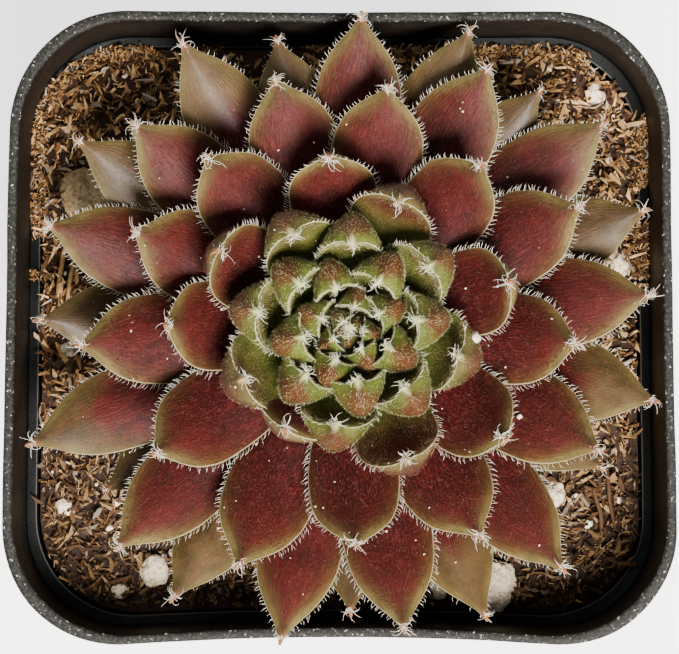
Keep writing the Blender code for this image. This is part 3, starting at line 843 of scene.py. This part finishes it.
chance = random.Random(23)
young_down = Heap()
old_down = Heap()
for leaf in leaves:
    area = 2 * leaf.half_width * leaf.length * (DOWN_SHARES[1] - DOWN_SHARES[0]) / MM**2
    wanted = int(area * DOWN_PER_MM2 * table(leaf.age, DOWN_AGES, DOWN_DENSITY))
    heap = young_down if leaf.age < YOUNG_UP_TO else old_down
    for face in (1, -1) if leaf.age < BACKS_UP_TO else (1,):
        for _ in range(wanted):
            share = chance.uniform(*DOWN_SHARES)
            across = chance.uniform(-DOWN_REACH_ACROSS, DOWN_REACH_ACROSS)
            if chance.random() > table(share, OUTLINE_SHARES, OUTLINE_WIDTHS):
                continue
            keep = chance.random()
            root, growth, normal = leaf.frame_at(share, face * math.acos(across))
            if keep > HIDDEN_KEPT and hidden(root + normal * 0.1 * MM):
                continue
            direction = growth + normal * chance.uniform(*DOWN_LIFT) + scatter(chance, DOWN_STRAY)
            length = table(leaf.age, DOWN_AGES, DOWN_LENGTH) * chance.uniform(*DOWN_SPREAD) * MM
            add_hair(heap, root - normal * 0.02 * MM, direction.normalized(), length, DOWN_RADIUS,
                     scatter(chance, 1.0), DOWN_CURL, leaf.kind)

# %% [markdown]
# The lashes stand out from the margin and curve towards the tip, about three to a millimetre. The oldest
# leaves have lost some. The tuft on the tip fans out and curls back on itself, some hairs into little
# hooks and loops.

# %% Lashes and tip tufts
LASH_SPACING = 0.31 * MM
LASH_SHARES = (0.26, 0.985)
LASH_AGES = (0, 10, 24, 50, 60, 69)
LASH_LENGTH = (0.5, 0.8, 1.0, 0.95, 0.75, 0.6)
LASH_RADIUS = 0.023 * MM
LASH_CURLS = (0.3, 1.1)
LASH_LEAN = (0.3, 0.8)
LASH_SPREAD = (0.65, 1.15)
LASH_WANING_FROM = 0.7
LASH_WANING_OVER = 0.3
LASH_WANING = 0.35
LASHES_KEPT_UP_TO = 53
LASHES_LOST = 0.4
TUFT_SPREAD = (0.4, 1.0)
TUFT_LENGTH = (1.1, 1.6, 2.0, 2.2, 1.9, 1.6)
TUFT_COUNT = (22, 30, 24, 16, 12, 8)
TUFT_FORWARD = (0.3, 0.4, 0.7, 0.9, 0.9, 0.9)
TUFT_RADIUS = 0.026 * MM
TUFT_CURLS = (0.8, 3.6)
TUFT_JOINTS = 6

chance = random.Random(37)
lashes = Heap()
tufts = Heap()
for leaf in leaves:
    full = table(leaf.age, LASH_AGES, LASH_LENGTH) * MM
    count = int(leaf.length * (LASH_SHARES[1] - LASH_SHARES[0]) / LASH_SPACING)
    for side in (0.0, math.pi):
        outwards = leaf.sideways if side == 0.0 else -leaf.sideways
        for number in range(count):
            share = LASH_SHARES[0] + (LASH_SHARES[1] - LASH_SHARES[0]) * (number + chance.random()) / count
            if leaf.age > LASHES_KEPT_UP_TO and chance.random() < LASHES_LOST:
                continue
            root, growth, _ = leaf.frame_at(share, side + chance.uniform(-0.15, 0.15))
            direction = (outwards + growth * chance.uniform(*LASH_LEAN) + scatter(chance, 0.25)).normalized()
            waning = 1 - LASH_WANING * max(0.0, share - LASH_WANING_FROM) / LASH_WANING_OVER
            length = full * chance.uniform(*LASH_SPREAD) * waning
            add_hair(lashes, root - outwards * 0.05 * MM, direction, length, LASH_RADIUS,
                     growth + scatter(chance, 0.5), chance.uniform(*LASH_CURLS), leaf.kind, 2)
    tip, growth, _ = leaf.frame_at(0.985, math.pi / 2)
    long = table(leaf.age, LASH_AGES, TUFT_LENGTH) * MM
    forward = table(leaf.age, LASH_AGES, TUFT_FORWARD)
    for _ in range(int(table(leaf.age, LASH_AGES, TUFT_COUNT))):
        direction = (growth * forward + scatter(chance, 0.9)).normalized()
        length = long * chance.uniform(*TUFT_SPREAD)
        root = tip - growth * chance.uniform(0.0, 0.5) * MM
        add_hair(tufts, root, direction, length, TUFT_RADIUS, scatter(chance, 1.0),
                 chance.uniform(*TUFT_CURLS), leaf.kind, TUFT_JOINTS)

# %% [markdown]
# All hairs are nearly white in themselves. Over the heart they pick up green, and over the maroon leaves
# they glow pink because light comes through them off the skin. Mixing the colour by the kind of leaf says
# this more cheaply than real translucence.

# %% Finish of the hairs
down_hair = Finish("down", {"Specular IOR Level": 0.3})
redness, luck, youth = down_hair.painted("kind")
tone = redness.blend(colour("7c6842"), colour("581812"))
tone = youth.blend(tone, colour("b4b47c"))
tone = (down_hair.place.grain(0.8 * MM).step(0.4, 0.75) * 0.2).blend(tone, colour("d0a894"))
down_finish = down_hair.feed(base_color=tone, roughness=0.5 + luck * 0.1)

white_hair = Finish("lash", {"Specular IOR Level": 0.4})
redness, luck, youth = white_hair.painted("kind")
tone = youth.blend(colour("f3e9d8"), colour("eef0cf"))
tone = (white_hair.place.grain(1.2 * MM).step(0.4, 0.75) * 0.35).blend(tone, colour("d9bfa2"))
lash_finish = white_hair.feed(base_color=tone, roughness=0.4 + luck * 0.1)

young_down.piece("down_on_young_leaves", down_finish, "leaf")
old_down.piece("down_on_old_leaves", down_finish, "leaf")
lashes.piece("margin_lashes", lash_finish, "leaf")
tufts.piece("tip_tufts", lash_finish, "leaf")

# %% [markdown]
# ## The potting mix
#
# The mix is shredded bark and coir with pumice. Its body fills the pot, so it is lofted from the same
# outlines as the pot, with a rough top from layered noise. The part that the eye reads as soil is the loose
# layer on it: flat bark chips, crumbs and curled fibres, each its own small closed shape.

# %% The body of the mix
SOIL_LEVEL = POT_HEIGHT - 11.2 * MM
SOIL_BANK = 1.6 * MM
CHIP_SIZE = 2.4 * MM
CHIP_RELIEF = 0.7 * MM
GRAIN_SHARE = 0.45
SHADED_RADIUS = 20.0 * MM
SHADED_DIP = 0.7 * MM
SHADED_CALM = 0.6
SOIL_SIDE_TOP = SHOULDER_HEIGHT - 6.0 * MM
SOIL_FOOT_ROUND = 1.0 * MM
SOIL_RINGS = 60
CRUMB_SIZE = 0.8 * MM
CRUMB_RELIEF = 0.35 * MM
BODY_KIND = (0.2, 0.5, 0.0)


def soil_height(x, y):
    """Level of the mix, as in the solid: banked up at the far side, with chips as relief."""
    bank = SOIL_BANK * max(0.0, y / (POT_DEPTH / 2)) ** 2
    chips = noise.noise(Vector((x, y, 0)) / CHIP_SIZE) * CHIP_RELIEF
    grains = noise.noise(Vector((x, y, CHIP_SIZE)) / (GRAIN_SHARE * CHIP_SIZE)) * CHIP_RELIEF * GRAIN_SHARE
    distance = math.hypot(x - STEM_BASE.x, y - STEM_BASE.y)
    shaded = min(1.0, 2 * max(0.0, 1 - distance / SHADED_RADIUS))
    return SOIL_LEVEL + bank + (chips + grains) * (1 - SHADED_CALM * shaded) - SHADED_DIP * shaded


bottom = FLOOR_TOP + GAP
wall_inset = WALL + GAP
rings = [
    pot_ring(bottom, wall_inset + outer_inset(bottom) + SOIL_FOOT_ROUND),
    pot_ring(bottom + SOIL_FOOT_ROUND, wall_inset + outer_inset(bottom)),
    pot_ring(SOIL_SIDE_TOP, wall_inset + outer_inset(SOIL_SIDE_TOP)),
]
soil_edge = pot_ring(SHOULDER_HEIGHT, wall_inset + outer_inset(SHOULDER_HEIGHT))
for number in range(SOIL_RINGS):
    share = 1 - number / SOIL_RINGS
    ring = []
    for point in soil_edge:
        x, y = point.x * share, point.y * share
        crumb = abs(noise.noise(Vector((x, y, 0.01)) / CRUMB_SIZE)) * CRUMB_RELIEF
        ring.append(Vector((x, y, soil_height(x, y) - 0.1 * MM + crumb)))
    rings.append(ring)
mix = Heap()
mix.add_rings(rings, BODY_KIND)

# %% [markdown]
# A chip starts as a handful of random points, and their convex hull is a splinter with honest flat facets.
# Some twenty templates, each scaled, turned and tinted anew, are enough for thousands of chips. They lie
# flatter than they stand, right up to the wall, and along the far side they spill over the ledge. Crumbs
# fill in between them, also nearer the stem, where chips would never be seen.

# %% Chips and crumbs
def read_out(bm):
    """Points and faces of a bmesh, which isn't needed after it."""
    bm.verts.index_update()
    points = [vert.co.copy() for vert in bm.verts]
    faces = [tuple(vert.index for vert in face.verts) for face in bm.faces]
    bm.free()
    return points, faces


def hull_template(chance, corners, sizes):
    """Points and faces of a random convex splinter, half sizes along its own axes."""
    bm = bmesh.new()
    for _ in range(corners):
        bm.verts.new([chance.uniform(-size, size) for size in sizes])
    made = bmesh.ops.convex_hull(bm, input=bm.verts)
    loose = [item for item in made["geom_interior"] if isinstance(item, bmesh.types.BMVert)]
    bmesh.ops.delete(bm, geom=loose, context="VERTS")
    return read_out(bm)


def inside_pot(x, y, inset):
    """How far a place lies inside the rounded outline at the soil's level."""
    corner = RIM_CORNER - inset
    past_x = abs(x) - (POT_WIDTH / 2 - inset - corner)
    past_y = abs(y) - (POT_DEPTH / 2 - RIM_SAG - inset - corner)
    outside = math.hypot(max(past_x, 0.0), max(past_y, 0.0)) + min(max(past_x, past_y), 0.0)
    return corner - outside


STEM_CLEAR = 11.0 * MM


def spots(chance, count, inset, nearest=STEM_CLEAR):
    """Random places on the mix, away from the stem."""
    found = []
    while len(found) < count:
        x = chance.uniform(-POT_WIDTH / 2, POT_WIDTH / 2)
        y = chance.uniform(-POT_DEPTH / 2, POT_DEPTH / 2)
        if inside_pot(x, y, inset) > 0 and math.hypot(x, y) > nearest:
            found.append((x, y))
    return found


SOIL_INSET = wall_inset + BODY_TOP_INSET
CHIP_CORNERS = 7
CHIP_SHAPES = 14
CRUMB_SHAPES = 8
CHIP_HALF_SIZES = (1.0, 0.27, 0.14)
CRUMB_HALF_SIZES = (1.0, 0.8, 0.65)
CHIPS_CLEAR = 16 * MM
CHIP_COUNT = 13000
CHIP_LENGTHS = (0.3, 1.4)
CRUMB_COUNT = 6500
CRUMB_LENGTHS = (0.16, 0.5)
SPILT_COUNT = 3500
SPILT_LENGTHS = (0.25, 0.7)
SPILT_INSET = WALL + 0.7 * MM
SPILT_FROM = 5 * MM
SPILT_PATCH = 5.0 * MM
MORE_SMALL = 2.2


def spilt_spots(chance, count):
    """Random places on the ledge, in patches along the far side and its corners."""
    found = []
    while len(found) < count:
        x = chance.uniform(-POT_WIDTH / 2, POT_WIDTH / 2)
        y = chance.uniform(SPILT_FROM, POT_DEPTH / 2)
        patchy = noise.noise(Vector((x, y, 0.02)) / SPILT_PATCH) > -0.25
        if patchy and inside_pot(x, y, SPILT_INSET) > 0 > inside_pot(x, y, SOIL_INSET + 0.3 * MM):
            found.append((x, y))
    return found


def strew(heap, shapes, places, sizes, tilt, depth):
    """Lay turned copies of the shapes at these places, more small than large, and half this long."""
    for x, y in places:
        points, faces = chance.choice(shapes)
        size = sizes[0] + (sizes[1] - sizes[0]) * chance.random() ** MORE_SMALL
        turn = Euler((chance.gauss(0, tilt), chance.gauss(0, tilt), chance.uniform(0, 2 * math.pi)))
        ground = soil_height(x, y)
        if inside_pot(x, y, SOIL_INSET) < 0:
            ground = max(ground, SHOULDER_HEIGHT + 0.1 * MM)
        spot = Vector((x, y, ground + chance.uniform(0.0, depth) * MM))
        moved = []
        for point in points:
            local = point * (size * MM)
            local.rotate(turn)
            moved.append(spot + local)
        heap.add(moved, faces, (chance.random(), chance.random(), 1.0))


chance = random.Random(53)
chip_shapes = [hull_template(chance, CHIP_CORNERS, CHIP_HALF_SIZES) for _ in range(CHIP_SHAPES)]
crumb_shapes = [hull_template(chance, CHIP_CORNERS, CRUMB_HALF_SIZES) for _ in range(CRUMB_SHAPES)]
chips = Heap()
chip_spots = spots(chance, CHIP_COUNT, SOIL_INSET - 0.1 * MM, CHIPS_CLEAR)
strew(chips, chip_shapes, chip_spots, CHIP_LENGTHS, tilt=0.5, depth=0.9)
strew(chips, chip_shapes, spilt_spots(chance, SPILT_COUNT), SPILT_LENGTHS, tilt=0.4, depth=0.4)
strew(mix, crumb_shapes, spots(chance, CRUMB_COUNT, SOIL_INSET), CRUMB_LENGTHS, tilt=3.0, depth=0.35)

# %% [markdown]
# Coir fibres and root threads are thin tubes along a wandering line. Two pale straws lie against the left
# wall, two brown ones against the right and a short one at the lower left, as in the photograph. An entry
# gives a straw's corners and radius in millimetres, and its tint.

# %% Fibres and straws
def tube(heap, path, radius, kind, sides=5):
    """A round thread along a path, thinner towards both ends."""
    rings = []
    for number, point in enumerate(path):
        before = path[max(number - 1, 0)]
        after = path[min(number + 1, len(path) - 1)]
        direction = (after - before).normalized()
        first = direction.orthogonal().normalized()
        second = direction.cross(first)
        end = min(number, len(path) - 1 - number)
        width = radius * min(1.0, 0.45 + 0.4 * end)
        turns = [2 * math.pi * side / sides for side in range(sides)]
        rings.append([point + (first * math.cos(a) + second * math.sin(a)) * width for a in turns])
    heap.add_rings(rings, kind)


def laid(x, y, rise):
    return Vector((x, y, soil_height(x, y) + rise))


FIBRE_COUNT = 420
FIBRE_STEPS = 7
FIBRE_STRIDES = (0.25, 0.75)
FIBRE_RISES = (0.15, 0.75)
FIBRE_RADII = (0.03, 0.09)
FIBRE_WANDER = 0.35
STRAW_PARTS = 4
STRAW_RISE = 0.9 * MM
STRAWS = (
    (((-27.4, 8.6), (-27.9, 5.5), (-28.1, 2.5)), 0.26, 0.85),
    (((-26.2, 8.8), (-26.9, 5.0), (-27.3, 1.0), (-26.9, -1.0)), 0.22, 0.9),
    (((25.2, -15.6), (26.0, -18.2), (26.2, -21.5)), 0.22, 0.45),
    (((26.6, -13.4), (26.9, -17.0), (27.6, -20.6)), 0.2, 0.35),
    (((-22.4, -20.4), (-20.6, -19.6), (-19.4, -19.3)), 0.2, 0.8),
)

chance = random.Random(71)
fibres = Heap()
for x, y in spots(chance, FIBRE_COUNT, SOIL_INSET + 1.2 * MM):
    heading = chance.uniform(0, 2 * math.pi)
    stride = chance.uniform(*FIBRE_STRIDES) * MM
    path = []
    for _ in range(FIBRE_STEPS):
        path.append(laid(x, y, chance.uniform(*FIBRE_RISES) * MM))
        heading += chance.gauss(0, FIBRE_WANDER)
        if inside_pot(x + math.cos(heading) * stride, y + math.sin(heading) * stride, SOIL_INSET) < 0:
            heading += math.pi / 2
        x += math.cos(heading) * stride
        y += math.sin(heading) * stride
    radius = chance.uniform(*FIBRE_RADII) * MM
    tube(fibres, path, radius, (chance.uniform(0.3, 1.0), chance.random(), 1.0))
for corners, radius, tint in STRAWS:
    path = []
    for (x0, y0), (x1, y1) in zip(corners, corners[1:]):
        for step in range(STRAW_PARTS):
            part = step / STRAW_PARTS
            path.append(laid((x0 + (x1 - x0) * part) * MM, (y0 + (y1 - y0) * part) * MM, STRAW_RISE))
    tube(fibres, path, radius * MM, (tint, 0.5, 1.0), sides=8)

# %% [markdown]
# Bark is dark and damp, coir is ginger, and a few dry chips are the colour of straw. One painted number
# per chip picks its tone from a ramp of four, and a streaky noise adds grain. The near wall shades the mix
# along it, so a painted shade darkens the mix from SHADE_FROM to SHADE_TO.

# %% Finish of the mix
SHADE_FROM = -2 * MM
SHADE_TO = -18 * MM

bark = Finish("bark and coir", {"Specular IOR Level": 0.25})
tint, luck, loose = bark.painted("kind")
streak = bark.place.grain(0.5 * MM, 4.0, 0.65)
level = tint + (streak - 0.5) * 0.5
tone = level.step(0.12, 0.42).blend(colour("321e10"), colour("684626"))
tone = level.step(0.45, 0.75).blend(tone, colour("a27a48"))
tone = level.step(0.8, 1.0).blend(tone, colour("dab27e"))
tone = loose.blend(colour("301e12"), tone)
tone = (luck.step(0.9, 0.94) * loose).blend(tone, colour("a08e79"))
_, away, _ = bark.place.split()
# Painted shade: the mix darkens towards the near wall, which shades it.
tone = (away.step(SHADE_FROM, SHADE_TO) * 0.6).blend(tone, colour("20130b"))
mix_finish = bark.feed(base_color=tone, roughness=0.65 + streak * 0.3, height=streak, depth=0.12 * MM)
mix.piece("potting_mix", mix_finish, "soil", ["soil"], sharp_angle=35)
chips.piece("bark_chips", mix_finish, "soil", sharp_angle=35)
fibres.piece("coir_fibres", mix_finish, "soil")

# %% [markdown]
# ## Pumice and perlite
#
# The ten larger grains are the solids' own: the same lumps from the same noise, on a finer ball, with pits
# that only a closer look shows. An entry gives a grain's place, its half sizes, its turn and how white it
# is. Seventy crumbs of perlite too small for a solid lie among the chips, and three specks and some dust
# were thrown onto the leaves. Each is dropped along the camera's line of sight until it meets a leaf, so
# it rests on what carries it.

# %% Grains, crumbs and specks
PUMICE = (
    ((-25.4, 13.2), (2.3, 3.0, 1.6), 20, 0.0), ((25.6, 23.6), (1.0, 1.1, 0.8), 0, 0.8),
    ((15.6, -25.4), (2.0, 2.7, 1.6), -15, 0.8), ((9.8, -25.8), (1.1, 1.0, 0.8), 40, 0.6),
    ((20.9, -16.4), (1.6, 1.3, 1.1), 30, 0.4), ((27.9, 6.6), (1.1, 1.6, 1.0), 10, 0.5),
    ((-27.0, -1.8), (0.9, 0.8, 0.7), 0, 0.6), ((-27.3, -17.6), (0.8, 1.0, 0.7), 60, 0.8),
    ((-18.4, -23.9), (1.6, 1.4, 1.1), 75, 0.6), ((-21.9, -26.0), (0.9, 0.8, 0.7), 15, 0.7),
)
PUMICE_SUNK = 0.35
PUMICE_ROUGHNESS = 0.16
PUMICE_LUMPS = 1.7
FRACTURES = 13
FRACTURE_DEPTHS = (0.78, 1.0)


def unit_ball(subdivisions):
    bm = bmesh.new()
    bmesh.ops.create_icosphere(bm, subdivisions=subdivisions, radius=1.0)
    points, faces = read_out(bm)
    return [point.normalized() for point in points], faces


def fractured(chance):
    """Random planes that flatten a ball into a broken stone: normals with distances from the middle."""
    return [(scatter(chance, 1.0).normalized(), chance.uniform(*FRACTURE_DEPTHS)) for _ in range(FRACTURES)]


def reach_to(planes, direction):
    """How far out the stone's skin lies in this direction, 1 where no plane cuts it."""
    limits = [depth / max(direction.dot(normal), 0.01) for normal, depth in planes]
    return min(1.0, *limits)


chance = random.Random(83)
stones = Heap()
ball, ball_faces = unit_ball(5)
for number, (place, half_sizes, turn, white) in enumerate(PUMICE, start=1):
    x, y = (c * MM for c in place)
    rise = soil_height(x, y) + half_sizes[2] * MM * PUMICE_SUNK
    turned = Euler((0, 0, math.radians(turn)))
    planes = fractured(chance)
    points = []
    for direction in ball:
        bump = noise.noise(direction * PUMICE_LUMPS + Vector((number, 0, 0))) * PUMICE_ROUGHNESS
        spot = direction * (half_sizes[0] * 2.2)
        pits = noise.noise(spot + Vector((0, number, 0))) * 0.06 - abs(noise.noise(spot * 2.3)) * 0.1
        radius = reach_to(planes, direction) + bump + pits + 0.05
        local = Vector([d * radius * h * MM for d, h in zip(direction, half_sizes)])
        local.rotate(turned)
        points.append(Vector((x, y, rise)) + local)
    stones.add(points, ball_faces, (number / len(PUMICE), white, 0.0))

PERLITE_COUNT = 70
PERLITE_SIZES = (0.16, 0.5)
PERLITE_CLEAR = 20 * MM
SPECKS = {(13.15, -1.05): 0.62, (17.5, -8.7): 0.28, (5.7, 8.1): 0.26}
DUST_COUNT = 90
DUST_REACH = (8, 29)
DUST_SIZES = (0.04, 0.13)


def under_camera(x, y):
    """Where the camera's line of sight through this place at the rim's level meets a leaf."""
    eye = camera.location
    aim = (Vector((x, y, RIM_LEVEL.z)) - eye).normalized()
    return leaf_tree.ray_cast(eye, aim)[0]


chance = random.Random(97)
crumbs = Heap()
small_ball, small_faces = unit_ball(2)


def add_crumb(centre, size):
    turn = Euler([chance.uniform(0, 6) for _ in range(3)])
    squash = Vector((1.0, chance.uniform(0.6, 1.0), chance.uniform(0.5, 0.9)))
    points = []
    for direction in small_ball:
        bump = 1 + noise.noise(direction * 1.6 + centre / MM) * 0.5
        local = direction * squash * bump * size
        local.rotate(turn)
        points.append(centre + local)
    crumbs.add(points, small_faces, (chance.random(), 1.0, 0.0))


for x, y in spots(chance, PERLITE_COUNT, SOIL_INSET + 1.0 * MM, PERLITE_CLEAR):
    add_crumb(laid(x, y, 0.4 * MM), chance.uniform(*PERLITE_SIZES) * MM)
for (x, y), size in SPECKS.items():
    add_crumb(under_camera(x * MM, y * MM) + UP * size * 0.5 * MM, size * MM)
for _ in range(DUST_COUNT):
    bearing = chance.uniform(0, 2 * math.pi)
    reach = chance.uniform(*DUST_REACH) * MM
    spot = under_camera(reach * math.cos(bearing), reach * math.sin(bearing))
    if spot:
        add_crumb(spot + UP * 0.05 * MM, chance.uniform(*DUST_SIZES) * MM)

# %% [markdown]
# Pumice is cream where it is clean and grey-brown in its pits, where peat has washed in. The largest grain
# is stained tan all over. Perlite is whiter. Two scales of noise colour both, and the same noise lowers
# the pits.

# %% Finish of the grains
grit = Finish("cream pumice", {"Specular IOR Level": 0.3})
_, white, _ = grit.painted("kind")
cells = grit.place.grain(0.35 * MM, 4.0, 0.7)
stain = grit.place.grain(1.3 * MM, 3.0, 0.6)
tone = cells.step(0.35, 0.55).blend(colour("7c5c38"), colour("dcc498"))
tone = ((1 - white) * (0.25 + stain.step(0.45, 0.7) * 0.6)).blend(tone, colour("a27a48"))
tone = (white * cells.step(0.3, 0.5)).blend(tone, colour("ead9be"))
grit_finish = grit.feed(base_color=tone, roughness=0.8 + cells * 0.15, height=cells, depth=0.1 * MM)
stones.piece("pumice_grains", grit_finish, "pumice", [f"pumice_{n}" for n in range(1, len(PUMICE) + 1)])
crumbs.piece("perlite_crumbs", grit_finish, "pumice")

# %% [markdown]
# ## The floor
#
# A plain pale sheet, wide enough that its edge is never seen. It is staging and not part of the object. A
# little light of its own keeps it as white as the photograph's background without flooding the plant.

# %% The studio floor
FLOOR_SIZE = 2.0
FLOOR_GLOW = 2.0

paper = Finish("studio paper", {"Specular IOR Level": 0.2, "Emission Strength": FLOOR_GLOW})
paper.shader.inputs["Emission Color"].default_value = colour("ffffff")
fleck = paper.place.grain(30 * MM, 2.0)
sheet = fleck.blend(colour("f4f3f1"), colour("f7f6f4"))
paper_finish = paper.feed(base_color=sheet, roughness=0.8 + fleck * 0.1)
floor_mesh = bpy.data.meshes.new("studio_floor")
half = FLOOR_SIZE / 2
corners = [(-half, -half, 0), (half, -half, 0), (half, half, 0), (-half, half, 0)]
floor_mesh.from_pydata(corners, [], [(0, 1, 2, 3)])
floor_mesh.materials.append(paper_finish)
floor = linked("studio_floor", floor_mesh)
